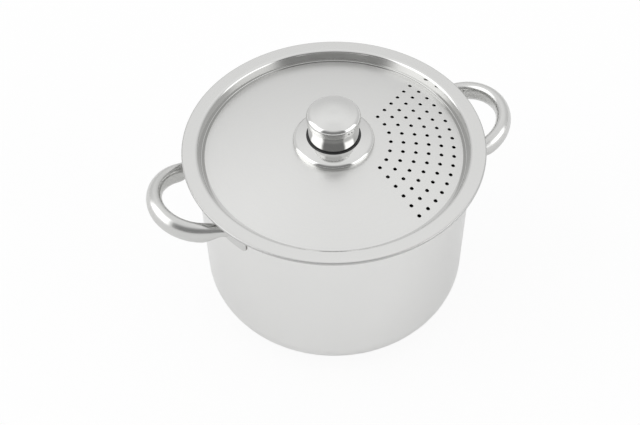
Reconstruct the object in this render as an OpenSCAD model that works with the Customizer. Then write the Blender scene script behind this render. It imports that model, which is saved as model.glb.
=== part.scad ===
// Tall stainless steel pasta pot with two loop handles and a recessed, perforated straining lid.
// Origin: centre of the underside of the base. +Z up, handles along X.

/* [Pot] */
// Inside diameter of the pot
pot_bore = 220; // [180:1:260]
// Thickness of the pot's deep-drawn sheet
pot_wall = 0.8; // [0.6:0.1:1.2]
// Height from the underside of the base to the top of the lid's flat ring
ring_top = 165; // [130:1:220]
// Outside radius where the wall turns into the bottom
corner_r = 29; // [15:1:40]
// Outside radius of the flare below the rolled rim
flare_r = 2.2; // [1.5:0.1:3]
// Reach of the rolled rim beyond the outside of the wall
rim_reach = 7.8; // [7:0.1:10]
// Height of the rolled edge of the rim
rim_roll = 3.8; // [3.4:0.1:4.4]

/* [Base] */
// Diameter of the steel cap under the base
base_d = 163; // [140:1:165]
// Height of the base below the pot's bottom
base_h = 6; // [4:0.5:9]
// Thickness of the steel cap
cap_wall = 0.6; // [0.4:0.1:1]
// Radius of the cap's lower edge
cap_edge_r = 2.5; // [1.5:0.1:3.5]

/* [Lid] */
// Thickness of the lid's pressed sheet
lid_wall = 0.7; // [0.5:0.1:0.9]
// Width of the lid's flat ring, from the recess to the hem
ring_w = 12.3; // [11.5:0.1:16]
// Radial gap between the lid's recess wall and the inside of the pot
lid_gap = 0.6; // [0.4:0.1:1.5]
// Depth of the recess wall's foot below the flat ring
recess_depth = 8.8; // [8.6:0.1:11]
// Angle that the recess wall leans in from upright
recess_draft = 17; // [8:0.5:20]
// Radial width of the ramp from the recess wall's foot up to the domed panel
ramp_w = 2.8; // [2.6:0.1:5]
// Height of the panel's crown above the flat ring
crown_h = 2.8; // [0:0.1:6]
// Radius of the domed panel
dome_r = 512; // [450:1:900]
// Radius of the corner between the flat ring and the recess wall
recess_edge_r = 2.8; // [1:0.1:3.2]
// Radius of the corner between the recess wall and the ramp
foot_corner_r = 0.5; // [0.3:0.1:1]
// Radius of the corner between the ramp and the domed panel
brow_r = 2; // [1:0.1:3]
// Radius of the corner between the flat ring and the hem
hem_edge_r = 1; // [0.8:0.1:1.4]
// Height of the turned-down hem
hem_h = 2.8; // [2.4:0.1:4]
// Gap between the pot's rim and the lid's flat ring
seat_gap = 0.3; // [0.2:0.1:0.6]

/* [Strainer holes] */
// Diameter of a strainer hole
hole_d = 3; // [2:0.1:5]
// Radius of the innermost arc of holes
hole_arc_r = 45.4; // [40:0.1:50]
// Distance from one arc of holes to the next
arc_pitch = 10.1; // [8:0.1:10.2]
// Distance between holes along an arc
hole_pitch = 10; // [8:0.1:12]
// Number of arcs of holes
hole_arcs = 6; // [1:1:6]
// Holes on the innermost arc; each further arc has two more
first_arc_holes = 7; // [3:2:9]
// Angle of the middle of the hole pattern from the right handle
lid_angle = -21.6; // [-180:0.1:180]

/* [Knob] */
// Diameter of the knob's upper part
knob_d = 42.8; // [36:0.1:50]
// Overhang of the knob's upper part beyond its lower part
knob_overhang = 0.4; // [0.4:0.1:3]
// Taper of the knob's lower part, from its top to its foot, on the radius
foot_taper = 0.8; // [0.4:0.1:3]
// Depth of the waist halfway up the knob's lower part
waist = 0.6; // [0:0.1:1]
// Height of the knob's lower part
skirt_h = 16.7; // [12:0.1:24]
// Height of the upright collar at the top of the knob's lower part
collar_h = 1.2; // [1.2:0.1:3]
// Height of the knob's upper part
knob_cap_h = 9.9; // [9:0.1:16]
// Radius of the knob's upper edge
knob_edge_r = 5; // [3:0.1:6]
// Drop of the knob's top face from its centre to its rim
knob_crown = 3.4; // [1:0.1:4]
// Thickness of the knob's steel shells
knob_wall = 0.7; // [0.5:0.1:1]
// Diameter of the rosette under the knob
rosette_d = 65; // [56:0.1:76]
// Height of the rosette's seat above the panel's crown
rosette_h = 6.4; // [4.5:0.1:9]
// Drop of the rosette's top face from its seat to its rim
rosette_drop = 2.2; // [0.5:0.1:2.6]
// Radius of the rosette's outer edge
rosette_edge_r = 4; // [2:0.1:4.2]
// Thickness of the rosette's sheet
rosette_wall = 0.8; // [0.5:0.1:1]
// Diameter of the black insulating ring
insulator_d = 43.4; // [42:0.1:54]
// Thickness of the black insulating ring
insulator_t = 0.4; // [0.4:0.1:1.5]

/* [Fastening] */
// Diameter of the screw's shank
screw_d = 5; // [4:0.5:6]
// Diameter of the threaded bush
bush_d = 12; // [10:0.5:16]
// Depth of the bush inside the knob
bush_rise = 14; // [10:0.5:15]
// Reach of the screw into the bush
screw_reach = 16; // [8:0.5:18]
// Diameter of the screw's head
screw_head_d = 9.5; // [8.5:0.1:12]
// Height of the screw's head
screw_head_h = 3; // [2.5:0.1:4]
// Width of the cross recess in the screw's head
recess_w = 1.1; // [0.8:0.1:1.4]
// Diameter of the flat washer
washer_d = 15; // [12.5:0.5:20]
// Thickness of the flat washer
washer_t = 1; // [0.8:0.1:1.6]
// Thickness of the split spring washer
spring_t = 1.2; // [1:0.1:1.6]
// Width of the split in the spring washer
split_w = 1; // [0.6:0.1:1.6]

/* [Handles] */
// Reach of the handle's centre line beyond the pot's wall
grip_reach = 37.6; // [34:0.1:44]
// Radius of the loop, to the middle of the tube
loop_r = 33.8; // [30:0.1:35.5]
// Half of the angle that the loop turns through
loop_half_angle = 79.3; // [72:0.1:84]
// Upward tilt of the loop
loop_tilt = 14.2; // [6:0.1:20]
// Depth of the loop's outermost point below the lid's flat ring
grip_drop = 12.6; // [10:0.1:20]
// Width of the oval tube
tube_w = 12.2; // [10:0.1:14]
// Height of the oval tube at the grip
tube_h = 18; // [14:0.1:20]
// Width of the tube where it meets its plate
end_w = 10.4; // [8:0.1:12]
// Height of the tube where it meets its plate
end_h = 10.8; // [8:0.1:13]
// Thickness of the tube's sheet
tube_wall = 1; // [0.8:0.1:1.5]
// Length of a weld plate around the pot
plate_l = 32; // [28:0.5:36]
// Height of a weld plate
plate_h = 15; // [14:0.5:20]
// Thickness of a weld plate
plate_t = 1.2; // [1:0.1:2]
// Radius of a weld plate's corners
plate_corner_r = 4; // [2:0.5:6]
// Angle from the handle's axis to the middle of a weld plate
plate_angle = 23.2; // [22:0.1:24]

/* [Hidden] */

// Smoothness of turned pieces, of a rounded corner's steps and of the handle's tube
TURN_FN = 180;
BORE_FN = 48;
CORNER_STEPS = 6;
TUBE_SIDES = 24;
LOOP_STEPS = 28;
ARM_STEPS = 6;
DOME_STEPS = 12;
// Points of an outline that lie closer than this are one point
NEAR = 0.001;

// Running clearance of the screw in the bush, and clearance of it in plain holes
thread_gap = 0.05;
hole_gap = 0.3;
// Slack between the flat washer and the domed sheet at the washer's edge
washer_slack = 0.02;
// Least inside radius of a bend in sheet
bend_r = 0.1;
// Reach of the hem's lip back under the ring, and of the rim's roll back under the rim
hem_lip = 1.1;
roll_lip = 1.5;
// Outside radius of the bend between the knob's foot and its side
foot_edge_r = 0.9;
// Radius of the bend between the collar and the wall below it
collar_bend_r = 4;
// Overlap that lets a cutting tool pass a face
cut = 0.5;

pot_r = pot_bore / 2 + pot_wall;
rim_top = ring_top - lid_wall - seat_gap;
rim_r = pot_r + rim_reach;
roll_r = rim_roll / 2;
// Inside radius of the lid's recess, and outside radius of the lid
recess_r = pot_bore / 2 - lid_gap - lid_wall;
lid_r = recess_r + ring_w;
crown_z = ring_top + crown_h;
foot_level = ring_top - recess_depth;
ramp_foot_r = recess_r - recess_depth * tan(recess_draft);
panel_r = ramp_foot_r - ramp_w;
screw_r = screw_d / 2;
bush_r = bush_d / 2;
rosette_r = rosette_d / 2;
insulator_r = insulator_d / 2;
knob_r = knob_d / 2;
skirt_r = knob_r - knob_overhang;
foot_r = skirt_r - foot_taper;
seat_z = crown_z + rosette_h;
foot_z = seat_z + insulator_t;
crease_z = foot_z + skirt_h;
knob_top = crease_z + knob_cap_h;
// Height of the flat washer's upper face, under the domed sheet
under_lid = dome_z(washer_d / 2) - lid_wall - washer_slack;
grip_r = pot_r + grip_reach;
grip_z = ring_top - grip_drop;
plate_r = pot_r + plate_t;

steel = "#c9c9c6";
polished = "#d9d9d6";
aluminium = "#a9abae";
black = "#1c1c1e";

// ---- Outlines of pressed sheet ----

function unit(v) = v / norm(v);
function left(v) = [-v[1], v[0]];
function reversed(p) = [for (i = [len(p) - 1 : -1 : 0]) p[i]];

// Points of a rounded corner at b, between a and c, that keep to fillet radius r
function corner(a, b, c, r) =
    let (u = unit(a - b),
         v = unit(c - b),
         half = acos(u * v) / 2,
         reach = r / tan(half),
         side = sign(u[0] * v[1] - u[1] * v[0]),
         hub = b + unit(u + v) * r / sin(half),
         turn = 180 - 2 * half,
         start = b + u * reach - hub)
    [for (i = [0 : CORNER_STEPS])
        let (t = -side * turn * i / CORNER_STEPS)
        hub + [start[0] * cos(t) - start[1] * sin(t), start[0] * sin(t) + start[1] * cos(t)]];

// The line without points that repeat the one before
function distinct(p) = [for (i = [0 : len(p) - 1]) if (i == 0 || norm(p[i] - p[i - 1]) > NEAR) p[i]];

// A line through [x, z, fillet radius] points, with its corners rounded
function rounded(p) = distinct(
    [for (i = [0 : len(p) - 1])
        let (here = [p[i][0], p[i][1]])
        each (i == 0 || i == len(p) - 1 || p[i][2] == 0
            ? [here]
            : corner([p[i - 1][0], p[i - 1][1]], here, [p[i + 1][0], p[i + 1][1]], p[i][2]))]);

// The line moved to its left by t, square to it
function moved(p, t) =
    [for (i = [0 : len(p) - 1])
        let (before = i == 0 ? unit(p[1] - p[0]) : unit(p[i] - p[i - 1]),
             after = i == len(p) - 1 ? before : unit(p[i + 1] - p[i]),
             mean = unit(left(before) + left(after)))
        p[i] + mean * t / (mean * left(before))];

// A turned sheet of thickness t; the line is one face and a positive t lies to its left
module turned_sheet(line, t) {
    rotate_extrude($fn = TURN_FN)
        polygon(concat(line, reversed(moved(line, t))));
}

// A turned ring between two radii and two heights
module turned_ring(inner_r, outer_r, low, high) {
    rotate_extrude($fn = TURN_FN)
        translate([inner_r, low])
            square([outer_r - inner_r, high - low]);
}

// ---- Pot ----

// Outside of the wall, underside of the flare and inside of the rolled edge
function pot_line() =
    let (roll = roll_r - pot_wall,
         lip_z = rim_top - pot_wall,
         edge_r = rim_r - pot_wall)
    rounded([
        [0, base_h, 0],
        [pot_r, base_h, corner_r],
        [pot_r, lip_z, flare_r],
        [edge_r, lip_z, roll],
        [edge_r, lip_z - 2 * roll, roll],
        [edge_r - roll_lip, lip_z - 2 * roll, 0]]);

module pot_body() {
    color(steel)
        turned_sheet(pot_line(), pot_wall);
}

module base_disc() {
    disc_r = base_d / 2 - cap_wall;
    edge_r = cap_edge_r - cap_wall;
    line = rounded([[0, cap_wall, 0], [disc_r, cap_wall, edge_r], [disc_r, base_h, 0]]);
    color(aluminium)
        rotate_extrude($fn = TURN_FN)
            polygon(concat(line, [[0, base_h]]));
}

module base_cap() {
    line = rounded([[0, 0, 0], [base_d / 2, 0, cap_edge_r], [base_d / 2, base_h, 0]]);
    color(steel)
        turned_sheet(line, cap_wall);
}

// ---- Lid ----

function dome_z(r) = crown_z - dome_r + sqrt(dome_r * dome_r - r * r);

// Upper face of the lid, from the screw hole out to the lip under the hem
function lid_line() =
    let (first = screw_r + hole_gap,
         last = panel_r - ramp_w)
    rounded(concat(
        [for (i = [0 : DOME_STEPS])
            let (r = first + (last - first) * i / DOME_STEPS)
            [r, dome_z(r), 0]],
        [[panel_r, dome_z(panel_r), brow_r],
         [ramp_foot_r, foot_level, foot_corner_r],
         [recess_r, ring_top, recess_edge_r],
         [lid_r, ring_top, hem_edge_r],
         [lid_r, ring_top - hem_h, lid_wall + bend_r],
         [lid_r - hem_lip, ring_top - hem_h, 0]]));

module strainer_holes() {
    for (k = [0 : hole_arcs - 1]) {
        arc_r = hole_arc_r + k * arc_pitch;
        half = (first_arc_holes - 1) / 2 + k;
        step = hole_pitch / arc_r * 180 / PI;
        for (i = [-half : half])
            rotate([0, 0, lid_angle + i * step])
                translate([arc_r, 0, foot_level])
                    cylinder(d = hole_d, h = recess_depth + crown_h + cut, $fn = BORE_FN);
    }
}

module lid() {
    color(polished)
        difference() {
            turned_sheet(lid_line(), -lid_wall);
            strainer_holes();
        }
}

// ---- Knob ----

module rosette() {
    line = rounded([
        [bush_r + hole_gap, seat_z, 0],
        [insulator_r, seat_z, 0],
        [rosette_r, seat_z - rosette_drop, rosette_edge_r],
        [rosette_r, dome_z(rosette_r - rosette_wall), 0]]);
    color(polished)
        turned_sheet(line, -rosette_wall);
}

module insulating_ring() {
    color(black)
        turned_ring(bush_r + hole_gap, insulator_r, seat_z, foot_z);
}

module knob_skirt() {
    line = rounded([
        [bush_r + hole_gap, foot_z, 0],
        [foot_r, foot_z, foot_edge_r],
        [(skirt_r + foot_r) / 2 - waist, foot_z + skirt_h / 2, 2 * skirt_h],
        [skirt_r, crease_z - collar_h, collar_bend_r],
        [skirt_r, crease_z, 0]]);
    color(polished)
        turned_sheet(line, knob_wall);
}

module knob_cap() {
    rim_z = knob_top - knob_crown;
    flat_r = knob_d / 5;
    line = rounded([
        [skirt_r - knob_wall, crease_z, 0],
        [knob_r, crease_z, knob_wall + bend_r],
        [knob_r, rim_z, knob_edge_r],
        [flat_r, knob_top, knob_d],
        [0, knob_top, 0]]);
    color(polished)
        turned_sheet(line, knob_wall);
}

// ---- Fastening ----

module knob_bush() {
    color(steel)
        turned_ring(screw_r + thread_gap, bush_r, crown_z, foot_z + bush_rise);
}

module flat_washer() {
    color(steel)
        turned_ring(screw_r + hole_gap, washer_d / 2, under_lid - washer_t, under_lid);
}

module spring_washer() {
    spring_top = under_lid - washer_t;
    color(steel)
        difference() {
            turned_ring(screw_r + hole_gap, screw_head_d / 2, spring_top - spring_t, spring_top);
            translate([0, -split_w / 2, spring_top - spring_t - cut])
                cube([screw_head_d, split_w, spring_t + 2 * cut]);
        }
}

module knob_screw() {
    head_top = under_lid - washer_t - spring_t;
    head_low = head_top - screw_head_h;
    recess_l = screw_head_d * 0.6;
    color(steel)
        difference() {
            union() {
                rotate_extrude($fn = TURN_FN)
                    polygon(concat([[0, head_low]],
                        rounded([[0, head_low, 0],
                            [screw_head_d / 2, head_low, screw_head_h * 0.6],
                            [screw_head_d / 2, head_top, 0]]),
                        [[0, head_top]]));
                translate([0, 0, head_top])
                    cylinder(r = screw_r, h = crown_z + screw_reach - head_top, $fn = BORE_FN);
            }
            for (a = [0, 90])
                rotate([0, 0, a])
                    translate([-recess_l / 2, -recess_w / 2, head_low - cut])
                        cube([recess_l, recess_w, screw_head_h / 2 + cut]);
        }
}

// ---- Handles ----

// Directions in the tilted plane of the right handle's loop: outwards and square to the plane
out = [cos(loop_tilt), 0, sin(loop_tilt)];
sideways = [0, 1, 0];
upright = [-sin(loop_tilt), 0, cos(loop_tilt)];
loop_hub = [grip_r, 0, grip_z] - loop_r * out;

function loop_point(a) = loop_hub + loop_r * (cos(a) * out + sin(a) * sideways);
function outward(a) = cos(a) * out + sin(a) * sideways;
function ahead(a) = -sin(a) * out + cos(a) * sideways;

// How far a point must go along d, in plan, to reach the face of the weld plates
function run_to_plate(p, d) =
    let (a = d[0] * d[0] + d[1] * d[1],
         b = p[0] * d[0] + p[1] * d[1],
         c = p[0] * p[0] + p[1] * p[1] - plate_r * plate_r)
    (-b - sqrt(b * b - a * c)) / a;

function blend(low, high, t) = low + (high - low) * t * t * (3 - 2 * t);

// One ring of the tube: the oval about centre c, with its top kept in line as it narrows.
// t runs from 0 at the grip to 1 at the plate, and inset is the depth below the outer face.
function tube_ring(c, a, t, inset) =
    let (half_w = blend(tube_w, end_w, t) / 2 - inset,
         half_h = blend(tube_h, end_h, t) / 2,
         raise = tube_h / 2 - half_h)
    [for (j = [0 : TUBE_SIDES - 1])
        let (s = 360 * j / TUBE_SIDES)
        c + half_w * cos(s) * outward(a) + (raise + (half_h - inset) * sin(s)) * upright];

// Rings along one straight arm, from the plate back to the loop; side is -1 or 1
function arm_rings(side, inset) =
    let (a = side * loop_half_angle,
         d = side * ahead(a),
         last = tube_ring(loop_point(a), a, 1, inset),
         arm = run_to_plate(loop_point(a), d))
    concat(
        [[for (p = last) p + run_to_plate(p, d) * d]],
        [for (i = [ARM_STEPS - 1 : -1 : 1])
            tube_ring(loop_point(a) + d * arm * i / (ARM_STEPS + 1), a, i / (ARM_STEPS + 1), inset)]);

function handle_rings(inset) =
    concat(
        arm_rings(-1, inset),
        [for (i = [0 : LOOP_STEPS])
            let (a = loop_half_angle * (2 * i / LOOP_STEPS - 1))
            tube_ring(loop_point(a), a, 0, inset)],
        reversed(arm_rings(1, inset)));

// Triangles of the skin over rings that start at point number base; flip turns them inside out
function skin(rings, base, flip) =
    [for (i = [0 : rings - 2], j = [0 : TUBE_SIDES - 1])
        let (k = (j + 1) % TUBE_SIDES,
             p = base + i * TUBE_SIDES,
             q = p + TUBE_SIDES)
        each (flip
            ? [[p + j, q + j, p + k], [p + k, q + j, q + k]]
            : [[p + j, p + k, q + j], [p + k, q + k, q + j]])];

// Triangles of the flat ring that joins the outer and the inner skin at one end
function rim(outer, inner, flip) =
    [for (j = [0 : TUBE_SIDES - 1])
        let (k = (j + 1) % TUBE_SIDES)
        each (flip
            ? [[outer + j, outer + k, inner + j], [outer + k, inner + k, inner + j]]
            : [[outer + j, inner + j, outer + k], [outer + k, inner + j, inner + k]])];

module handle() {
    outer = handle_rings(0);
    inner = handle_rings(tube_wall);
    n = len(outer);
    inside = n * TUBE_SIDES;
    last = (n - 1) * TUBE_SIDES;
    points = [for (r = concat(outer, inner)) each r];
    color(polished)
        polyhedron(points, concat(
            skin(n, 0, false), skin(n, inside, true),
            rim(0, inside, false), rim(last, inside + last, true)));
}

module left_handle() {
    rotate([0, 0, 180])
        handle();
}

module right_handle() {
    handle();
}

// A plate bent to the pot's wall, with its middle at angle a: a rounded outline cut from a ring
module weld_plate(a) {
    half_angle = plate_l / 2 / pot_r * 180 / PI;
    chord = 2 * pot_r * sin(half_angle);
    tube_end = [for (p = arm_rings(1, 0)[0]) p[2]];
    middle_z = (min(tube_end) + max(tube_end)) / 2;
    half_ring_h = plate_h / 2 + cut;
    color(polished)
        rotate([0, 0, a])
            intersection() {
                turned_ring(pot_r, plate_r, middle_z - half_ring_h, middle_z + half_ring_h);
                translate([0, 0, middle_z])
                    rotate([90, 0, 90])
                        linear_extrude(2 * pot_r)
                            rounded_rectangle(chord, plate_h, plate_corner_r);
            }
}

module rounded_rectangle(w, h, r) {
    square([w, h - 2 * r], center = true);
    square([w - 2 * r, h], center = true);
    for (x = [-1, 1], y = [-1, 1])
        translate([x * (w / 2 - r), y * (h / 2 - r)])
            circle(r = r, $fn = BORE_FN);
}

module left_front_plate() {
    weld_plate(180 + plate_angle);
}

module left_rear_plate() {
    weld_plate(180 - plate_angle);
}

module right_front_plate() {
    weld_plate(-plate_angle);
}

module right_rear_plate() {
    weld_plate(plate_angle);
}

pot_body();
base_disc();
base_cap();
left_handle();
right_handle();
left_front_plate();
left_rear_plate();
right_front_plate();
right_rear_plate();
lid();
rosette();
insulating_ring();
knob_skirt();
knob_cap();
knob_bush();
flat_washer();
spring_washer();
knob_screw();
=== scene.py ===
import math

import bpy
import numpy as np
from mathutils import Matrix, Vector
from mathutils.geometry import delaunay_2d_cdt


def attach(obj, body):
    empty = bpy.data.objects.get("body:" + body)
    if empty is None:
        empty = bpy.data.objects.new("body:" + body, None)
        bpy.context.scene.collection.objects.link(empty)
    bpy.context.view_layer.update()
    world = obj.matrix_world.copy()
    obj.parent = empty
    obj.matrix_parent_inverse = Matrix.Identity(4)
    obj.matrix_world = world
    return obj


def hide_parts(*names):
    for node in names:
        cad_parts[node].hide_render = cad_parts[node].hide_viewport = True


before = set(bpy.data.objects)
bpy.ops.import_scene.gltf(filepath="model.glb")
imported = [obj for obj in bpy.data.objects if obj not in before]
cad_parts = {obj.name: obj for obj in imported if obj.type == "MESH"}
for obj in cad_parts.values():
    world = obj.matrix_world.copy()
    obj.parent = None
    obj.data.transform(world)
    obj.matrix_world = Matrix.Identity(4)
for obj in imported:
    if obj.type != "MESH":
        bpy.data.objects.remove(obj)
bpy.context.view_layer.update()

MM = 0.001

# ---------------------------------------------------------------- sizes, in millimetres
# Pot: a drawn shell with a flared and rolled rim.
POT_R = 110.8
POT_WALL = 0.8
CORNER_R = 29.0
RIM_TOP = 164.0
RIM_R = 118.6
FLARE_R = 2.2        # bend from the wall out to the rim
RIM_ROLL = 3.8       # height of the rolled rim
ROLL_LIP = 1.5       # run of the roll's end, back towards the wall

# Base: a thin cup that holds the disc under the pot.
BASE_H = 6.0
BASE_R = 81.5
CAP_WALL = 0.6
CAP_EDGE_R = 2.5

# Lid, from outside: hem, flat ring, slanted wall of the recess, ramp up to the brow, and domed panel.
LID_WALL = 0.7
LID_R = 120.99
RING_TOP = 165.0
HEM_H = 2.8
HEM_LIP = 1.1        # run of the hem's lower end, back towards the pot
HEM_EDGE_R = 1.0
BEND_R = 0.1         # inside radius of the tightest folds, at the hem and at the knob's crease
RECESS_R = 108.7
RECESS_DEPTH = 8.8
RECESS_DRAFT = math.radians(17)
RECESS_EDGE_R = 2.8
RAMP_W = 2.8
FOOT_CORNER_R = 0.5
BROW_R = 2.0
CROWN_Z = 167.8
DOME_R = 512.0
RAMP_FOOT_R = RECESS_R - RECESS_DEPTH * math.tan(RECESS_DRAFT)
PANEL_R = RAMP_FOOT_R - RAMP_W

# Strainer holes: arcs of holes at one side of the panel.
HOLE_R = 1.5
HOLE_LIP_R = 0.28    # rounding of a hole's upper edge
HOLE_ARC_R = 45.4
ARC_PITCH = 10.1
HOLE_PITCH = 10.0
HOLE_ARCS = 6
FIRST_ARC_HOLES = 7
HOLES_TURN = math.radians(-21.6)

# Knob, upwards: rosette, black ring between SEAT_Z and FOOT_Z, lower part with a waist and a collar that
# ends at CREASE_Z, and upper part.
ROSETTE_R = 32.5
ROSETTE_DROP = 2.2
ROSETTE_EDGE_R = 4.0
ROSETTE_WALL = 0.8
SEAT_Z = 174.2
RING_R = 21.7
RING_EDGE_R = 0.15
FOOT_Z = 174.6
FOOT_R = 20.2
FOOT_EDGE_R = 0.9
WAIST = 0.6
SKIRT_R = 21.0
COLLAR_H = 1.2
COLLAR_BEND_R = 4.0
CREASE_Z = 191.3
KNOB_R = 21.4
KNOB_EDGE_R = 5.0
KNOB_CROWN = 3.4
KNOB_TOP = 201.2
KNOB_WALL = 0.7
BUSH_R = 6.0
SCREW_R = 2.5
HOLE_GAP = 0.3       # play round the bush and the screw

# Handles: an oval tube bent to a loop, flatter at its ends.
GRIP_R = 148.37
GRIP_Z = 152.4
LOOP_R = 33.8
LOOP_HALF = math.radians(79.3)
LOOP_TILT = math.radians(14.2)
TUBE_W = 12.2
TUBE_H = 18.0
TUBE_END_W = 10.4
TUBE_END_H = 10.8
TUBE_WALL = 1.0

# Weld plates, bent round the pot. The insets are those of the mesh's inner outlines, with their least radius.
PLATE_R = 112.0
PLATE_L = 32.0
PLATE_H = 15.0
PLATE_CORNER_R = 4.0
PLATE_EDGE_R = 0.45
PLATE_INSETS = (1.2, 2.4, 3.6)
PLATE_LEAST_R = 0.4
PLATE_ANGLE = math.radians(23.2)

# Fineness of the meshes. Outside JOIN_R the lid is turned. Inside it the panel is a grid of triangles that
# starts at GRID_START, keeps a margin to the join and a clearance to the holes, and has GRID_LEAST points or
# more on each circle.
TURN = 288
SCREW_HOLE_N = 48
BORE_N = 24
HOLE_LIP_STEPS = 3
TUBE_SIDES = 48
LOOP_STEPS = 84
ARM_STEPS = 14
PLATE_EDGE_STEPS = 4
PLATE_ARC_STEPS = 8
PLATE_SIDE_STEPS = 12
JOIN_R = 99.0
GRID_START = 7.0
GRID_STEP = 5.0
GRID_LEAST = 24
GRID_MARGIN = 1.5
GRID_CLEARANCE = 0.9

# Tolerances. CREASE is a difference between two unit normals, here a little under 2 degrees.
TINY = 1e-6
SAME_PLACE = 1e-4
CREASE = 0.03


# ---------------------------------------------------------------- turned sheet
def unit(v):
    return v / np.linalg.norm(v)


def left(v):
    """v after a quarter turn to the left."""
    return np.array([-v[1], v[0]])


def turned(v, angle):
    return math.cos(angle) * v + math.sin(angle) * left(v)


def mitre(a, b):
    """Vector that reaches 1 along both unit vectors."""
    return (a + b) / (1 + a @ b)


def outline(corners, steps):
    """Stations (place, normal before, normal after) along a line of (x, z, bend radius) corners.

    The normals lie to the left of the line. Each bend becomes an arc of that many steps.
    """
    places = [np.array(corner[:2], float) for corner in corners]
    normals = [left(unit(b - a)) for a, b in zip(places, places[1:])]
    stations = [(places[0], normals[0], normals[0])]
    for place, (_, _, radius), before, after in zip(places[1:], corners[1:], normals, normals[1:]):
        if radius == 0:
            stations.append((place, before, after))
            continue
        bend = math.atan2(left(before) @ after, before @ after)
        side = -1 if bend > 0 else 1
        hub = place - side * radius * mitre(before, after)
        for k in range(steps + 1):
            normal = turned(before, bend * k / steps)
            stations.append((hub + side * radius * normal, normal, normal))
    stations.append((places[-1], normals[-1], normals[-1]))
    kept = stations[:1]
    for station in stations[1:]:
        if np.linalg.norm(station[0] - kept[-1][0]) > SAME_PLACE:
            kept.append(station)
    return kept


def sheet_section(stations, thickness):
    """Closed section of a sheet: the line, then back along its copy on the left, or on the right if negative.

    At both ends the outer normals lie along the line, for the square edges of the sheet.
    """
    side = 1 if thickness > 0 else -1
    near = [[place, -side * before, -side * after] for place, before, after in stations]
    far = [[place + thickness * mitre(before, after), side * after, side * before]
           for place, before, after in reversed(stations)]
    near[-1][2] = far[0][1] = -left(stations[-1][2])
    far[-1][2] = near[0][1] = left(stations[0][1])
    return near + far


def revolve(section, closed=True):
    """Points, faces and face-corner normals of a section turned about Z."""
    spins = [2 * math.pi * k / TURN for k in range(TURN)]
    on_axis = [abs(place[0]) < TINY for place, _, _ in section]
    points, rings = [], []
    for (place, _, _), middle in zip(section, on_axis):
        rings.append([len(points)] * TURN if middle else range(len(points), len(points) + TURN))
        points += [(place[0] * math.cos(a), place[0] * math.sin(a), place[1])
                   for a in (spins[:1] if middle else spins)]
    faces, normals = [], []
    for i in range(len(section) if closed else len(section) - 1):
        j = (i + 1) % len(section)
        if on_axis[i] and on_axis[j]:
            continue
        (start, _, start_normal), (end, end_normal, _) = section[i], section[j]
        faces_left = (start_normal + end_normal) @ left(end - start) > 0
        for k in range(TURN):
            m = (k + 1) % TURN
            corners = [(i, k, start_normal), (i, m, start_normal), (j, m, end_normal), (j, k, end_normal)]
            if on_axis[i]:
                del corners[1]
            elif on_axis[j]:
                del corners[3]
            if faces_left:
                corners.reverse()
            faces.append([rings[station][spin] for station, spin, _ in corners])
            normals += [(n[0] * math.cos(spins[spin]), n[0] * math.sin(spins[spin]), n[1])
                        for _, spin, n in corners]
    return points, faces, normals


def mark_creases(mesh, normals):
    """Makes an edge sharp where the normals of its two faces differ, so that they aren't blended."""
    count = len(mesh.loops)
    edge_of, point_of = np.zeros(count, int), np.zeros(count, int)
    mesh.loops.foreach_get("edge_index", edge_of)
    mesh.loops.foreach_get("vertex_index", point_of)
    following = np.arange(1, count + 1)
    for face in mesh.polygons:
        following[face.loop_start + face.loop_total - 1] = face.loop_start
    order = np.argsort(edge_of, kind="stable")
    one, two = order[0::2], order[1::2]
    if len(one) != len(two) or (edge_of[one] != edge_of[two]).any():
        raise ValueError(mesh.name + " is not closed")
    if (point_of[one] == point_of[two]).any():
        raise ValueError(mesh.name + " has faces turned against each other")
    gap = np.maximum(np.linalg.norm(normals[one] - normals[following[two]], axis=1),
                     np.linalg.norm(normals[following[one]] - normals[two], axis=1))
    sharp = np.zeros(len(mesh.edges), bool)
    sharp[edge_of[one[gap > CREASE]]] = True
    mesh.attributes.new("sharp_edge", "BOOLEAN", "EDGE").data.foreach_set("value", sharp)


def add_mesh(name, points, faces, normals=None):
    """A smooth piece from points in millimetres, with its own face-corner normals where they are given."""
    mesh = bpy.data.meshes.new(name)
    mesh.from_pydata([tuple(c * MM for c in p) for p in points], [], faces)
    mesh.polygons.foreach_set("use_smooth", [True] * len(faces))
    if normals is not None:
        mark_creases(mesh, np.array(normals))
        mesh.normals_split_custom_set([tuple(n) for n in normals])
    mesh.update()
    obj = bpy.data.objects.new(name, mesh)
    bpy.context.scene.collection.objects.link(obj)
    return obj


def turned_sheet(name, corners, thickness, steps):
    return add_mesh(name, *revolve(sheet_section(outline(corners, steps), thickness)))


def turned_solid(name, corners, steps):
    """A solid that lies to the right of its outline."""
    (start, _, leaving), *others, (_, arriving, _) = outline(corners + corners[:1], steps)
    return add_mesh(name, *revolve([(start, arriving, leaving), *others]))


# ---------------------------------------------------------------- pot
def pot_shell():
    roll_r = RIM_ROLL / 2 - POT_WALL
    lip_z = RIM_TOP - POT_WALL
    edge_r = RIM_R - POT_WALL
    return turned_sheet("pot_shell", [
        (0, BASE_H, 0),
        (POT_R, BASE_H, CORNER_R),
        (POT_R, lip_z, FLARE_R),
        (edge_r, lip_z, roll_r),
        (edge_r, lip_z - 2 * roll_r, roll_r),
        (edge_r - ROLL_LIP, lip_z - 2 * roll_r, 0)], POT_WALL, steps=16)


def base_cup():
    return turned_sheet("base_cup", [
        (0, 0, 0),
        (BASE_R, 0, CAP_EDGE_R),
        (BASE_R, BASE_H, 0)], CAP_WALL, steps=8)


# ---------------------------------------------------------------- lid
def dome_z(r, sphere_r=DOME_R):
    """Height at a distance from Z on the panel's sphere, or on another sphere about the same centre."""
    return CROWN_Z - DOME_R + math.sqrt(sphere_r ** 2 - r ** 2)


def dome_normal(x, y):
    return np.array([x, y, math.sqrt(DOME_R ** 2 - x ** 2 - y ** 2)]) / DOME_R


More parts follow.
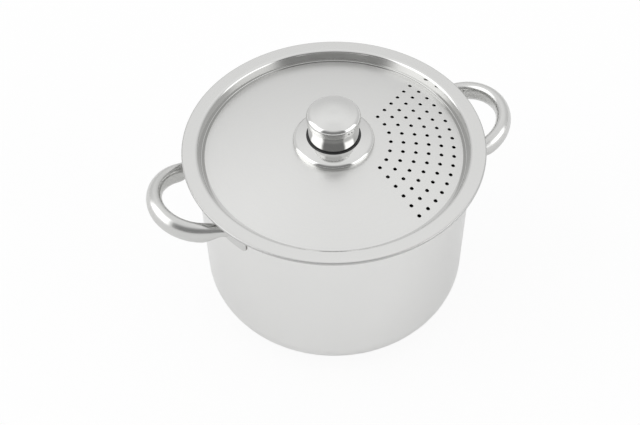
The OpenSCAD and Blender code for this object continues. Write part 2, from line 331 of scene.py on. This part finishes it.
def lid_edge():
    """Section of the lid from the panel out to the hem. It starts square to the dome."""
    (start, _, _), *others = outline([
        (JOIN_R, dome_z(JOIN_R), 0),
        (PANEL_R, dome_z(PANEL_R), BROW_R),
        (RAMP_FOOT_R, RING_TOP - RECESS_DEPTH, FOOT_CORNER_R),
        (RECESS_R, RING_TOP, RECESS_EDGE_R),
        (LID_R, RING_TOP, HEM_EDGE_R),
        (LID_R, RING_TOP - HEM_H, LID_WALL + BEND_R),
        (LID_R - HEM_LIP, RING_TOP - HEM_H, 0)], steps=10)
    upward = dome_normal(JOIN_R, 0)[[0, 2]]
    return sheet_section([(start, upward, upward), *others], -LID_WALL)


def hole_centres():
    """Centres of the strainer holes. Each arc has two more than the one inside it."""
    centres = []
    for k in range(HOLE_ARCS):
        arc_r = HOLE_ARC_R + k * ARC_PITCH
        half = (FIRST_ARC_HOLES - 1) // 2 + k
        spins = [HOLES_TURN + i * HOLE_PITCH / arc_r for i in range(-half, half + 1)]
        centres += [(arc_r * math.cos(a), arc_r * math.sin(a)) for a in spins]
    return centres


def circle(radius, count, x=0.0, y=0.0, shift=0.0):
    """Points of a circle. The first lies a share of one step past the X direction."""
    spins = [2 * math.pi * (k + shift) / count for k in range(count)]
    return [(x + radius * math.cos(a), y + radius * math.sin(a)) for a in spins]


def round_hole(count, tilt=math.pi / 2):
    """Normals round a hole: upwards at tilt 0, and towards its middle at a quarter turn."""
    return [(-math.sin(tilt) * x, -math.sin(tilt) * y, math.cos(tilt)) for x, y in circle(1, count)]


def panel_grid(holes):
    """Loose points of the panel: staggered circles that keep clear of the holes."""
    grid = []
    for i, radius in enumerate(np.arange(GRID_START, JOIN_R - GRID_MARGIN, GRID_STEP)):
        count = max(GRID_LEAST, int(2 * math.pi * radius / GRID_STEP))
        grid += [p for p in circle(radius, count, shift=(i + 1) % 2 / 2)
                 if min(math.dist(p, hole) for hole in holes) > HOLE_R + HOLE_LIP_R + GRID_CLEARANCE]
    return grid


def panel_plan(holes):
    """The panel seen from above: its points, its triangles, and the numbers of the points on each rim.

    The rims are the join with the lid's edge, the screw's hole and then the strainer holes.
    """
    rims = [circle(JOIN_R, TURN), circle(SCREW_R + HOLE_GAP, SCREW_HOLE_N)]
    rims += [circle(HOLE_R + HOLE_LIP_R, BORE_N, *hole) for hole in holes]
    points, edges, starts = [], [], []
    for rim in rims:
        starts.append(len(points))
        edges += [(len(points) + k, len(points) + (k + 1) % len(rim)) for k in range(len(rim))]
        points += rim
    points = [Vector(p) for p in points + panel_grid(holes)]
    found, _, triangles, sources, _, _ = delaunay_2d_cdt(points, edges, [], 0, TINY)
    xy = np.array([tuple(v) for v in found])
    number = {source: i for i, merged in enumerate(sources) for source in merged}
    numbers = [[number[start + k] for k in range(len(rim))] for start, rim in zip(starts, rims)]
    middles = np.array([(0, 0), *holes])
    sides_at = np.array([(SCREW_R + HOLE_GAP) * math.cos(math.pi / SCREW_HOLE_N)]
                        + [(HOLE_R + HOLE_LIP_R) * math.cos(math.pi / BORE_N)] * len(holes))
    solid = [list(t) for t in triangles
             if (np.linalg.norm(middles - xy[list(t)].mean(axis=0), axis=1) >= sides_at).all()]
    return xy, solid, numbers


def lid_sheet():
    edge = lid_edge()
    points, faces, normals = revolve(edge, closed=False)
    holes = hole_centres()
    xy, triangles, (join, screw_hole, *rims) = panel_plan(holes)
    up = [dome_normal(x, y) for x, y in xy]
    top = {i: k for k, i in enumerate(join)}
    low = {i: (len(edge) - 1) * TURN + k for k, i in enumerate(join)}
    for i, (x, y) in enumerate(xy):
        if i not in top:
            place = np.array([x, y, dome_z(math.hypot(x, y))])
            top[i], low[i] = len(points), len(points) + 1
            points += [place, place - LID_WALL * up[i]]
    for triangle in triangles:
        a, b, c = xy[triangle]
        if left(b - a) @ (c - a) < 0:
            triangle.reverse()
        faces.append([top[i] for i in triangle])
        normals += [up[i] for i in triangle]
        faces.append([low[i] for i in reversed(triangle)])
        normals += [-up[i] for i in reversed(triangle)]

    def band(low_ring, low_normals, high_ring, high_normals):
        """Faces between two rings of a hole, which face its middle."""
        for k in range(len(low_ring)):
            m = (k + 1) % len(low_ring)
            faces.append([high_ring[k], high_ring[m], low_ring[m], low_ring[k]])
            normals.extend([high_normals[k], high_normals[m], low_normals[m], low_normals[k]])

    def add_ring(radius, hole, height):
        """Adds a circle about a hole's middle, at a height that depends on the distance from Z."""
        points.extend((x, y, height(math.hypot(x, y))) for x, y in circle(radius, BORE_N, *hole))
        return range(len(points) - BORE_N, len(points))

    down = [(0, 0, -1)] * BORE_N
    for hole, rim in zip(holes, rims):
        above, above_normals = [top[i] for i in rim], [up[i] for i in rim]
        for step in range(1, HOLE_LIP_STEPS + 1):
            tilt = math.pi / 2 * step / HOLE_LIP_STEPS
            drop = HOLE_LIP_R * (1 - math.cos(tilt))
            ring = add_ring(HOLE_R + HOLE_LIP_R * (1 - math.sin(tilt)), hole, lambda r: dome_z(r) - drop)
            ring_normals = round_hole(BORE_N, tilt)
            band(ring, ring_normals, above, above_normals)
            above, above_normals = ring, ring_normals
        ring = add_ring(HOLE_R, hole, lambda r: dome_z(r, DOME_R - LID_WALL))
        band(ring, above_normals, above, above_normals)
        band([low[i] for i in rim], down, ring, down)
    inward = round_hole(SCREW_HOLE_N)
    band([low[i] for i in screw_hole], inward, [top[i] for i in screw_hole], inward)
    return add_mesh("lid_sheet", points, faces, normals)


# ---------------------------------------------------------------- knob
def rosette_dish():
    return turned_sheet("rosette_dish", [
        (BUSH_R + HOLE_GAP, SEAT_Z, 0),
        (RING_R, SEAT_Z, 0),
        (ROSETTE_R, SEAT_Z - ROSETTE_DROP, ROSETTE_EDGE_R),
        (ROSETTE_R, dome_z(ROSETTE_R - ROSETTE_WALL), 0)], -ROSETTE_WALL, steps=16)


def black_ring():
    return turned_solid("black_ring", [
        (BUSH_R + HOLE_GAP, FOOT_Z, 0),
        (RING_R, FOOT_Z, RING_EDGE_R),
        (RING_R, SEAT_Z, RING_EDGE_R),
        (BUSH_R + HOLE_GAP, SEAT_Z, 0)], steps=6)


def knob_lower():
    return turned_sheet("knob_lower", [
        (BUSH_R + HOLE_GAP, FOOT_Z, 0),
        (FOOT_R, FOOT_Z, FOOT_EDGE_R),
        ((SKIRT_R + FOOT_R) / 2 - WAIST, (FOOT_Z + CREASE_Z) / 2, 2 * (CREASE_Z - FOOT_Z)),
        (SKIRT_R, CREASE_Z - COLLAR_H, COLLAR_BEND_R),
        (SKIRT_R, CREASE_Z, 0)], KNOB_WALL, steps=12)


def knob_upper():
    return turned_sheet("knob_upper", [
        (SKIRT_R - KNOB_WALL, CREASE_Z, 0),
        (KNOB_R, CREASE_Z, KNOB_WALL + BEND_R),
        (KNOB_R, KNOB_TOP - KNOB_CROWN, KNOB_EDGE_R),
        (KNOB_R * 2 / 5, KNOB_TOP, KNOB_R * 2),
        (0, KNOB_TOP, 0)], KNOB_WALL, steps=16)


# ---------------------------------------------------------------- handles
# The right handle: directions in and square to its tilted plane, and the middle of its bend.
OUT = np.array([math.cos(LOOP_TILT), 0, math.sin(LOOP_TILT)])
SIDEWAYS = np.array([0, 1, 0])
UPRIGHT = np.array([-math.sin(LOOP_TILT), 0, math.cos(LOOP_TILT)])
LOOP_HUB = np.array([GRIP_R, 0, GRIP_Z]) - LOOP_R * OUT


def outward(a):
    return math.cos(a) * OUT + math.sin(a) * SIDEWAYS


def ahead(a):
    return -math.sin(a) * OUT + math.cos(a) * SIDEWAYS


def run_to_plate(place, direction):
    """Distance from a place, along a direction, to the cylinder on which the outside of the plates lies."""
    a = direction[:2] @ direction[:2]
    b = place[:2] @ direction[:2]
    c = place[:2] @ place[:2] - PLATE_R ** 2
    return (-b - math.sqrt(b * b - a * c)) / a


def blend(low, high, t):
    return low + (high - low) * t * t * (3 - 2 * t)


def tube_ring(centre, a, t, inset):
    """Oval round a place of the handle's line: the grip's form at t = 0, the tube's end at t = 1."""
    half_w = blend(TUBE_W, TUBE_END_W, t) / 2 - inset
    half_h = blend(TUBE_H, TUBE_END_H, t) / 2
    lift = TUBE_H / 2 - half_h
    spins = [2 * math.pi * j / TUBE_SIDES for j in range(TUBE_SIDES)]
    return [centre + half_w * math.cos(s) * outward(a) + (lift + (half_h - inset) * math.sin(s)) * UPRIGHT
            for s in spins]


def arm_rings(side, inset):
    """Rings of a straight arm, from its plate towards the bend. The first one follows the plate's curve."""
    a = side * LOOP_HALF
    direction = side * ahead(a)
    start = LOOP_HUB + LOOP_R * outward(a)
    arm = run_to_plate(start, direction)
    rings = [[p + run_to_plate(p, direction) * direction for p in tube_ring(start, a, 1, inset)]]
    for i in range(ARM_STEPS - 1, 0, -1):
        t = i / (ARM_STEPS + 1)
        rings.append(tube_ring(start + direction * arm * t, a, t, inset))
    return rings


def handle(name, turn):
    """Hollow tube: an outer and an inner skin, joined at both ends. turn is its angle about Z."""
    skins = []
    for inset in (0, TUBE_WALL):
        angles = [LOOP_HALF * (2 * i / LOOP_STEPS - 1) for i in range(LOOP_STEPS + 1)]
        loop = [tube_ring(LOOP_HUB + LOOP_R * outward(a), a, 0, inset) for a in angles]
        skins.append(arm_rings(-1, inset) + loop + arm_rings(1, inset)[::-1])
    c, s = math.cos(turn), math.sin(turn)
    points = [(c * x - s * y, s * x + c * y, z) for skin in skins for ring in skin for x, y, z in ring]
    last = len(skins[0]) - 1
    size = len(skins[0]) * TUBE_SIDES
    steps = [(j, (j + 1) % TUBE_SIDES) for j in range(TUBE_SIDES)]
    faces = []
    for p in range(0, last * TUBE_SIDES, TUBE_SIDES):
        q = p + TUBE_SIDES
        for j, k in steps:
            faces.append([p + j, q + j, q + k, p + k])
            faces.append([size + p + j, size + p + k, size + q + k, size + q + j])
    faces += [[j, k, size + k, size + j] for j, k in steps]
    p = last * TUBE_SIDES
    faces += [[size + p + j, size + p + k, p + k, p + j] for j, k in steps]
    obj = add_mesh(name, points, faces)
    ring_of = [[v % size // TUBE_SIDES for v in edge.vertices] for edge in obj.data.edges]
    sharp = obj.data.attributes.new("sharp_edge", "BOOLEAN", "EDGE")
    sharp.data.foreach_set("value", [rings in ([0, 0], [last, last]) for rings in ring_of])
    return obj


# ---------------------------------------------------------------- weld plates
TUBE_END_Z = [p[2] for p in arm_rings(1, 0)[0]]
PLATE_Z = (min(TUBE_END_Z) + max(TUBE_END_Z)) / 2


def rounded_rectangle(w, h, r):
    """Outline points with their normals; the second half mirrors the first, in reverse."""
    half = []
    for hub, start in ((w / 2 - r, 0), (r - w / 2, math.pi / 2)):
        for i in range(PLATE_ARC_STEPS + 1):
            a = start + math.pi / 2 * i / PLATE_ARC_STEPS
            half.append((hub + r * math.cos(a), h / 2 - r + r * math.sin(a), math.cos(a), math.sin(a)))
        if start == 0:
            half += [(hub * (1 - 2 * i / PLATE_SIDE_STEPS), h / 2, 0, 1) for i in range(1, PLATE_SIDE_STEPS)]
    return half + [(u, -v, nu, -nv) for u, v, nu, nv in reversed(half)]


PLATE_CHORD = 2 * POT_R * math.sin(PLATE_L / 2 / POT_R)
PLATE_OUTLINE = rounded_rectangle(PLATE_CHORD, PLATE_H, PLATE_CORNER_R)
PLATE_SHADED_FACES = 2 * len(PLATE_OUTLINE)


def plate_rings():
    """Nested outlines of a plate, from the foot of its edge, over the rounded edge, to its middle.

    A point is its place along the pot and up, its distance from Z, and its normal in the same directions.
    """
    rings = [[(u, v, POT_R, nu, nv, 0.0) for u, v, nu, nv in PLATE_OUTLINE]]
    for step in range(PLATE_EDGE_STEPS + 1):
        t = math.pi / 2 * step / PLATE_EDGE_STEPS
        c, s = math.cos(t), math.sin(t)
        inset = PLATE_EDGE_R * (1 - c)
        radius = PLATE_R - PLATE_EDGE_R * (1 - s)
        rings.append([(u - nu * inset, v - nv * inset, radius, nu * c, nv * c, s)
                      for u, v, nu, nv in PLATE_OUTLINE])
    for inset in PLATE_INSETS:
        corner_r = max(PLATE_CORNER_R - inset, PLATE_LEAST_R)
        inner = rounded_rectangle(PLATE_CHORD - 2 * inset, PLATE_H - 2 * inset, corner_r)
        rings.append([(u, v, PLATE_R, 0.0, 0.0, 1.0) for u, v, _, _ in inner])
    return rings


def plate(name, angle):
    """A plate bent round the pot, at an angle about Z. Its first faces are those of its side edge, which
    takes a painted shade.
    """
    points, faces, normals = [], [], []

    def place(u, v, radius, nu, nv, nr):
        """Adds a point. Gives its number, its normal and the direction away from Z there."""
        a = angle + math.asin(u / radius)
        away = np.array([math.cos(a), math.sin(a), 0])
        along = np.array([-math.sin(a), math.cos(a), 0])
        points.append(radius * away + np.array([0, 0, PLATE_Z + v]))
        return len(points) - 1, unit(nu * along + np.array([0, 0, nv]) + nr * away), away

    def patch(*corners):
        faces.append([c[0] for c in corners])
        normals.extend(c[1] for c in corners)

    def across(loop):
        """Upright strips over an outline, so that the faces keep to the pot's curve."""
        n = len(loop)
        for k in range(n // 2 - 1):
            patch(loop[k], loop[k + 1], loop[n - 2 - k], loop[n - 1 - k])

    loops = [[place(*spot) for spot in ring] for ring in plate_rings()]
    for low, high in zip(loops, loops[1:]):
        for k in range(len(low)):
            m = (k + 1) % len(low)
            patch(low[k], low[m], high[m], high[k])
    across(loops[-1])
    across([(i, -away) for i, _, away in loops[0]][::-1])
    return add_mesh(name, points, faces, normals)


# ---------------------------------------------------------------- materials
# The scales of the noises are repeats in a metre, and the depths of the reliefs are metres.
PATCH_SCALE = 38.0
CLOUD_SCALE = 9.0
SPECK_SCALE = 900.0
SCRATCH_SCALE = 700.0
SCRATCH_STRETCH = (1.0, 0.25, 1.0)
GRAIN_SCALE = 1600.0
DUST_SCALE = 60.0

# Lines of the lathe, coarse and fine: scale across them, scale round Z at 1 m from it, and detail.
LATHE_LINES = ((1300.0, 2.6, 3.0), (5200.0, 5.2, 2.0))
FINE_LINES_SHARE = 0.6
LEAST_RADIUS = 0.0005

# Most of a noise lies in MOST. The shades are shares of the colour, and SPECK_RELIEF is a share of the relief
# of the lines.
MOST = (0.3, 0.7)
LINES_MOST = (0.25, 0.75)
SPECKS_MOST = (0.2, 0.8)
CLOUD_SHADE = 0.015
LINE_SHADE = 0.012
SPECK_SHADE = 0.01
SPECK_RELIEF = 0.25

STEEL_WHITE = (0.69, 0.69, 0.68)
BODY_WHITE = (0.785, 0.785, 0.775)
HANDLE_WHITE = (0.63, 0.63, 0.62)
FASTENER_GREY = (0.56, 0.56, 0.55)
# Painted shade: the dark grey of the plates' side edges.
PAINTED_EDGE_SHADE_GREY = (0.3, 0.29, 0.28)
ALUMINIUM_GREY = (0.72, 0.73, 0.74)
PLASTIC_BLACK = (0.021, 0.021, 0.022)
PLASTIC_ROUGHNESS = (0.42, 0.55)
PLASTIC_GRAIN = (0.8, 1.3)

# Zones of the lid: how smooth each one is, and how much its colour is lighter or darker. The darker recess
# wall and hem are painted shade. The fades are in millimetres: the width of the soft edges of the panel and
# of the recess wall, and how far in from the outside the hem's rougher finish and painted shade start and are
# full.
LID_RING_SMOOTH = 0.07
LID_PANEL_SMOOTH = 0.3
LID_HEM_SMOOTH = 0.4
LID_SPREAD = 0.06
LID_PANEL_SHADE = 0.05
LID_RECESS_PAINTED_SHADE = -0.2
LID_HEM_PAINTED_SHADE = -0.22
PANEL_FADE = 0.4
HEM_FADE = (1.2, 0.6)


class Graph:
    """Short ways to write shader nodes."""

    def __init__(self, tree):
        self.tree = tree

    def put(self, socket, value):
        """Links a socket, or sets a constant."""
        if isinstance(value, bpy.types.NodeSocket):
            self.tree.links.new(value, socket)
        elif value is not None:
            socket.default_value = value

    def node(self, kind, **settings):
        n = self.tree.nodes.new(kind)
        for key, value in settings.items():
            setattr(n, key, value)
        return n

    def math(self, operation, a, b=None, c=None):
        n = self.node("ShaderNodeMath", operation=operation)
        for socket, value in zip(n.inputs, (a, b, c)):
            self.put(socket, value)
        return n.outputs[0]

    def dot(self, vector, constant):
        n = self.node("ShaderNodeVectorMath", operation="DOT_PRODUCT")
        self.put(n.inputs[0], vector)
        n.inputs[1].default_value = constant
        return n.outputs["Value"]

    def parted(self, vector):
        n = self.node("ShaderNodeSeparateXYZ")
        self.put(n.inputs[0], vector)
        return n.outputs

    def joined(self, x, y, z):
        n = self.node("ShaderNodeCombineXYZ")
        for socket, value in zip(n.inputs, (x, y, z)):
            self.put(socket, value)
        return n.outputs[0]

    def step(self, value, low, high, a=0.0, b=1.0, smooth=True):
        """Goes from a at low to b at high."""
        n = self.node("ShaderNodeMapRange", interpolation_type="SMOOTHSTEP" if smooth else "LINEAR")
        self.put(n.inputs["Value"], value)
        for key, v in (("From Min", low), ("From Max", high), ("To Min", a), ("To Max", b)):
            n.inputs[key].default_value = v
        return n.outputs["Result"]

    def window(self, value, low, high, soft):
        """1 between low and high, 0 outside, with soft edges."""
        return self.math("MULTIPLY", self.step(value, low - soft, low + soft),
                         self.step(value, high - soft, high + soft, 1.0, 0.0))

    def noise(self, vector, scale, detail=2.0, roughness=0.5):
        n = self.node("ShaderNodeTexNoise")
        self.put(n.inputs["Vector"], vector)
        for key, v in (("Scale", scale), ("Detail", detail), ("Roughness", roughness)):
            n.inputs[key].default_value = v
        return n.outputs["Fac"]

    def mix(self, factor, a, b):
        n = self.node("ShaderNodeMix", data_type="FLOAT")
        self.put(n.inputs[0], factor)
        self.put(n.inputs[2], a)
        self.put(n.inputs[3], b)
        return n.outputs[0]


def new_material(name):
    """A material, and its graph with its main shader and the object's own coordinates."""
    mat = bpy.data.materials.new(name)
    mat.use_nodes = True
    g = Graph(mat.node_tree)
    g.shader = mat.node_tree.nodes["Principled BSDF"]
    g.place = g.node("ShaderNodeTexCoord").outputs["Object"]
    return mat, g


def tint(g, colour, shade):
    """Base colour: colour times shade."""
    n = g.node("ShaderNodeVectorMath", operation="SCALE")
    n.inputs[0].default_value = colour
    g.put(n.inputs["Scale"], shade)
    g.put(g.shader.inputs["Base Color"], n.outputs[0])


def relief(g, height, depth):
    n = g.node("ShaderNodeBump")
    n.inputs["Distance"].default_value = depth
    g.put(n.inputs["Height"], height)
    g.put(g.shader.inputs["Normal"], n.outputs[0])


def finish(g, colour, smooth, rough, lines, depth, lines_share=0.5, shade=None):
    """Metal: fine lines, soft patches of handling in the roughness, and slight changes of the colour."""
    g.shader.inputs["Metallic"].default_value = 1
    patches = g.noise(g.place, PATCH_SCALE, detail=3.0)
    clouds = g.noise(g.place, CLOUD_SCALE)
    specks = g.noise(g.place, SPECK_SCALE, roughness=0.7)
    spread = g.step(g.mix(lines_share, patches, lines), *MOST, smooth=False)
    g.put(g.shader.inputs["Roughness"], g.mix(spread, smooth, rough))
    level = g.math("ADD", g.step(clouds, *MOST, 1 - CLOUD_SHADE, 1.0),
                   g.step(lines, *LINES_MOST, -LINE_SHADE, LINE_SHADE))
    level = g.math("ADD", level, g.step(specks, *SPECKS_MOST, -SPECK_SHADE, SPECK_SHADE))
    tint(g, colour, level if shade is None else g.math("MULTIPLY", level, shade))
    relief(g, g.math("MULTIPLY_ADD", specks, SPECK_RELIEF, lines), depth)


def turned_lines(g):
    """Lines left by the lathe: long round Z, narrow across the profile. Gives the distance from Z, too."""
    x, y, z = g.parted(g.place)
    radius = g.math("SQRT", g.math("ADD", g.math("MULTIPLY", x, x), g.math("MULTIPLY", y, y)))
    divisor = g.math("MAXIMUM", radius, LEAST_RADIUS)
    around = [g.math("DIVIDE", axis, divisor) for axis in (x, y)]
    across = g.math("SUBTRACT", radius, z)
    layers = []
    for across_scale, around_scale, detail in LATHE_LINES:
        parts = [g.math("MULTIPLY", part, around_scale) for part in around]
        spot = g.joined(*parts, g.math("MULTIPLY", across, across_scale))
        layers.append(g.noise(spot, 1.0, detail, roughness=0.6))
    return g.mix(FINE_LINES_SHARE, *layers), radius


def turned_metal(name, colour, smooth, rough, depth):
    mat, g = new_material(name)
    lines, _ = turned_lines(g)
    finish(g, colour, smooth, rough, lines, depth)
    return mat


def polished_metal(name, colour, smooth, rough, depth):
    """Metal polished by hand: short scratches."""
    mat, g = new_material(name)
    stretch = g.node("ShaderNodeVectorMath", operation="MULTIPLY")
    g.put(stretch.inputs[0], g.place)
    stretch.inputs[1].default_value = SCRATCH_STRETCH
    scratches = g.noise(stretch.outputs[0], SCRATCH_SCALE, detail=4.0, roughness=0.65)
    finish(g, colour, smooth, rough, scratches, depth, lines_share=0.35)
    return mat


def lid_metal():
    """Bright ring, satin panel and hem, with painted shade that darkens the recess wall and the hem."""
    mat, g = new_material("lid_steel")
    lines, radius = turned_lines(g)
    panel = g.step(radius, (PANEL_R - PANEL_FADE) * MM, PANEL_R * MM, 1.0, 0.0)
    hem = g.step(radius, *((LID_R - inset) * MM for inset in HEM_FADE))
    recess_shade = g.window(radius, PANEL_R * MM, RECESS_R * MM, PANEL_FADE * MM)
    # Painted shade: the colour of the recess wall is darkened.
    shade = g.math("MULTIPLY_ADD", recess_shade, LID_RECESS_PAINTED_SHADE, 1.0)
    shade = g.math("MULTIPLY_ADD", panel, LID_PANEL_SHADE, shade)
    # Painted shade: the colour of the hem is darkened, which dims the highlight along its edge.
    shade = g.math("MULTIPLY_ADD", hem, LID_HEM_PAINTED_SHADE, shade)
    smooth = g.mix(hem, g.mix(panel, LID_RING_SMOOTH, LID_PANEL_SMOOTH), LID_HEM_SMOOTH)
    rough = g.math("ADD", smooth, LID_SPREAD)
    finish(g, STEEL_WHITE, smooth, rough, lines, depth=1.5e-6, shade=shade)
    return mat


def black_moulding():
    """Plastic with a fine grain and a little dust."""
    mat, g = new_material("black_plastic")
    grain = g.noise(g.place, GRAIN_SCALE, detail=3.0, roughness=0.6)
    dust = g.noise(g.place, DUST_SCALE, detail=3.0)
    g.put(g.shader.inputs["Roughness"], g.step(dust, *MOST, *PLASTIC_ROUGHNESS))
    tint(g, PLASTIC_BLACK, g.step(grain, *MOST, *PLASTIC_GRAIN))
    relief(g, grain, depth=2e-5)
    return mat


MATERIALS = {
    "body_steel": turned_metal("body_steel", BODY_WHITE, smooth=0.17, rough=0.24, depth=6e-6),
    "lid_steel": lid_metal(),
    "knob_steel": turned_metal("knob_steel", STEEL_WHITE, smooth=0.05, rough=0.09, depth=1e-6),
    "handle_steel": polished_metal("handle_steel", HANDLE_WHITE, smooth=0.2, rough=0.28, depth=2e-6),
    "fastener_steel": turned_metal("fastener_steel", FASTENER_GREY, smooth=0.25, rough=0.4, depth=6e-6),
    "base_aluminium": turned_metal("base_aluminium", ALUMINIUM_GREY, smooth=0.35, rough=0.5, depth=1e-5),
    "black_plastic": black_moulding(),
    "plate_edge_painted_shade": polished_metal("plate_edge_painted_shade", PAINTED_EDGE_SHADE_GREY, smooth=0.25, rough=0.4, depth=1e-5)}


# ---------------------------------------------------------------- pieces
def stand_for(piece, node, body, slot):
    """Dresses a piece, and puts it in the place of a CAD node, on a body."""
    piece.data.materials.append(MATERIALS[slot])
    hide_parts(node)
    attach(piece, body)


stand_for(pot_shell(), "pot_body", "pot", "body_steel")
stand_for(base_cup(), "base_cap", "pot", "body_steel")
stand_for(lid_sheet(), "lid", "lid", "lid_steel")
stand_for(rosette_dish(), "rosette", "lid", "knob_steel")
stand_for(black_ring(), "insulating_ring", "lid", "black_plastic")
stand_for(knob_lower(), "knob_skirt", "lid", "knob_steel")
stand_for(knob_upper(), "knob_cap", "lid", "knob_steel")

for side_name, side_turn in (("right", 0.0), ("left", math.pi)):
    stand_for(handle(side_name + "_grip", side_turn), side_name + "_handle", "pot", "handle_steel")

for end_name, end_turn in (("left_front", math.pi + PLATE_ANGLE), ("left_rear", math.pi - PLATE_ANGLE),
                           ("right_front", -PLATE_ANGLE), ("right_rear", PLATE_ANGLE)):
    tab = plate(end_name + "_tab", end_turn)
    stand_for(tab, end_name + "_plate", "pot", "handle_steel")
    # The plate's side edge gets a dark grey: painted shade along the edge.
    tab.data.materials.append(MATERIALS["plate_edge_painted_shade"])
    for face in tab.data.polygons:
        face.material_index = int(face.index < PLATE_SHADED_FACES)

for kept_node, kept_slot in (("base_disc", "base_aluminium"), ("knob_bush", "fastener_steel"),
                             ("flat_washer", "fastener_steel"), ("spring_washer", "fastener_steel"),
                             ("knob_screw", "fastener_steel")):
    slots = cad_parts[kept_node].data.materials
    slots.clear()
    slots.append(MATERIALS[kept_slot])


# ---------------------------------------------------------------- camera
# The camera stands at an angle about Z, back from it and up from the lid, in metres. Its heading about Z, its
# tilt up from straight down, and its roll aim it.
CAMERA_TURN = math.radians(-21.68)
CAMERA_BACK = 0.6091
CAMERA_UP = 0.6387
CAMERA_HEADING = CAMERA_TURN + math.radians(1.13)
CAMERA_TILT = math.radians(40.043)
CAMERA_ROLL = math.radians(-1.207)
CAMERA_LENS = 62.33
CAMERA_SENSOR = 36

camera_data = bpy.data.cameras.new("camera")
camera_data.sensor_fit = "HORIZONTAL"
camera_data.sensor_width = CAMERA_SENSOR
camera_data.lens = CAMERA_LENS
camera = bpy.data.objects.new("camera", camera_data)
towards_camera = Matrix.Rotation(CAMERA_TURN, 3, "Z")
eye = towards_camera @ Vector((0, -CAMERA_BACK, 0)) + Vector((0, 0, RING_TOP * MM + CAMERA_UP))
camera.matrix_world = (Matrix.Translation(eye) @ Matrix.Rotation(CAMERA_HEADING, 4, "Z")
                       @ Matrix.Rotation(CAMERA_TILT, 4, "X") @ Matrix.Rotation(CAMERA_ROLL, 4, "Z"))
bpy.context.scene.collection.objects.link(camera)
bpy.context.scene.camera = camera

# ---------------------------------------------------------------- floor
# A pale floor. Rays that show the background get a share of plain white in place of its colour.
FLOOR_HALF = 6.0
FLOOR_COLOUR = (0.9, 0.9, 0.9, 1)
FLOOR_GLOW = 0.91
MIRRORED_GLOW = 0.15

floor_mesh = bpy.data.meshes.new("floor")
floor_corners = [(x * FLOOR_HALF, y * FLOOR_HALF, 0) for x, y in ((-1, -1), (1, -1), (1, 1), (-1, 1))]
floor_mesh.from_pydata(floor_corners, [], [(0, 1, 2, 3)])
floor = bpy.data.objects.new("floor", floor_mesh)
bpy.context.scene.collection.objects.link(floor)

floor_white, g = new_material("floor_white")
g.shader.inputs["Base Color"].default_value = FLOOR_COLOUR
g.shader.inputs["Roughness"].default_value = 1
g.shader.inputs["Specular IOR Level"].default_value = 0
white = g.node("ShaderNodeEmission")
white.inputs["Strength"].default_value = 1
rays = g.node("ShaderNodeLightPath").outputs
straight = g.math("MAXIMUM", rays["Is Camera Ray"], rays["Is Transmission Ray"])
share = g.math("MAXIMUM", g.math("MULTIPLY", straight, FLOOR_GLOW),
               g.math("MULTIPLY", rays["Is Glossy Ray"], MIRRORED_GLOW))
surface = g.node("ShaderNodeMixShader")
for socket, source in zip(surface.inputs, (share, g.shader.outputs[0], white.outputs[0])):
    g.put(socket, source)
g.put(floor_white.node_tree.nodes["Material Output"].inputs[0], surface.outputs[0])
floor_mesh.materials.append(floor_white)

# ---------------------------------------------------------------- light
# A white light tent with a softbox on each side and a dim opening in front. Azimuths are degrees from the
# front to the right, and elevations are degrees above the horizon. A rise or a top is where a level changes,
# and the camera sees plain white.
WALL_LOW = 0.8
WALL_HIGH = 1.04
WALL_RISE = (15, 60)
ROOF = 0.96
ROOF_RISE = (62, 80)
RIGHT_SHADE = -0.03
OPENING_LOW = 0.29
OPENING_HIGH = 0.85
OPENING_RISE = (30, 62)
OPENING_HALF = 44
OPENING_TOP = (55, 80)
BOX_LIGHT = 2.2
LEFT_BOX = ((-108, -50), (-8, 54))
RIGHT_BOX = ((48, 92), (-15, 34))
SOFT = 5

world = bpy.data.worlds.new("tent")
world.use_nodes = True
bpy.context.scene.world = world
g = Graph(world.node_tree)
direction = g.node("ShaderNodeTexCoord").outputs["Generated"]
front = towards_camera @ Vector((0, -1, 0))
aside = towards_camera @ Vector((1, 0, 0))
azimuth = g.math("DEGREES", g.math("ARCTAN2", g.dot(direction, aside), g.dot(direction, front)))
elevation = g.math("DEGREES", g.math("ARCSINE", g.parted(direction)[2]))

tent = g.step(elevation, *WALL_RISE, WALL_LOW, WALL_HIGH)
tent = g.mix(g.step(elevation, *ROOF_RISE), tent, ROOF)
tent = g.math("MULTIPLY", tent, g.math("MULTIPLY_ADD", g.dot(direction, aside), RIGHT_SHADE, 1.0))
opening = g.mix(g.step(elevation, *OPENING_RISE), OPENING_LOW, OPENING_HIGH)
in_opening = g.math("MULTIPLY", g.window(azimuth, -OPENING_HALF, OPENING_HALF, SOFT),
                    g.step(elevation, *OPENING_TOP, 1.0, 0.0))
tent = g.mix(in_opening, tent, opening)
for azimuths, elevations in (LEFT_BOX, RIGHT_BOX):
    in_box = g.math("MULTIPLY", g.window(azimuth, *azimuths, SOFT), g.window(elevation, *elevations, SOFT))
    tent = g.mix(in_box, tent, BOX_LIGHT)
background = world.node_tree.nodes["Background"]
background.inputs["Color"].default_value = (1, 1, 1, 1)
seen = g.node("ShaderNodeLightPath").outputs["Is Camera Ray"]
g.put(background.inputs["Strength"], g.mix(seen, tent, 1.0))

bpy.context.scene.view_settings.view_transform = "Standard"

bpy.context.view_layer.update()
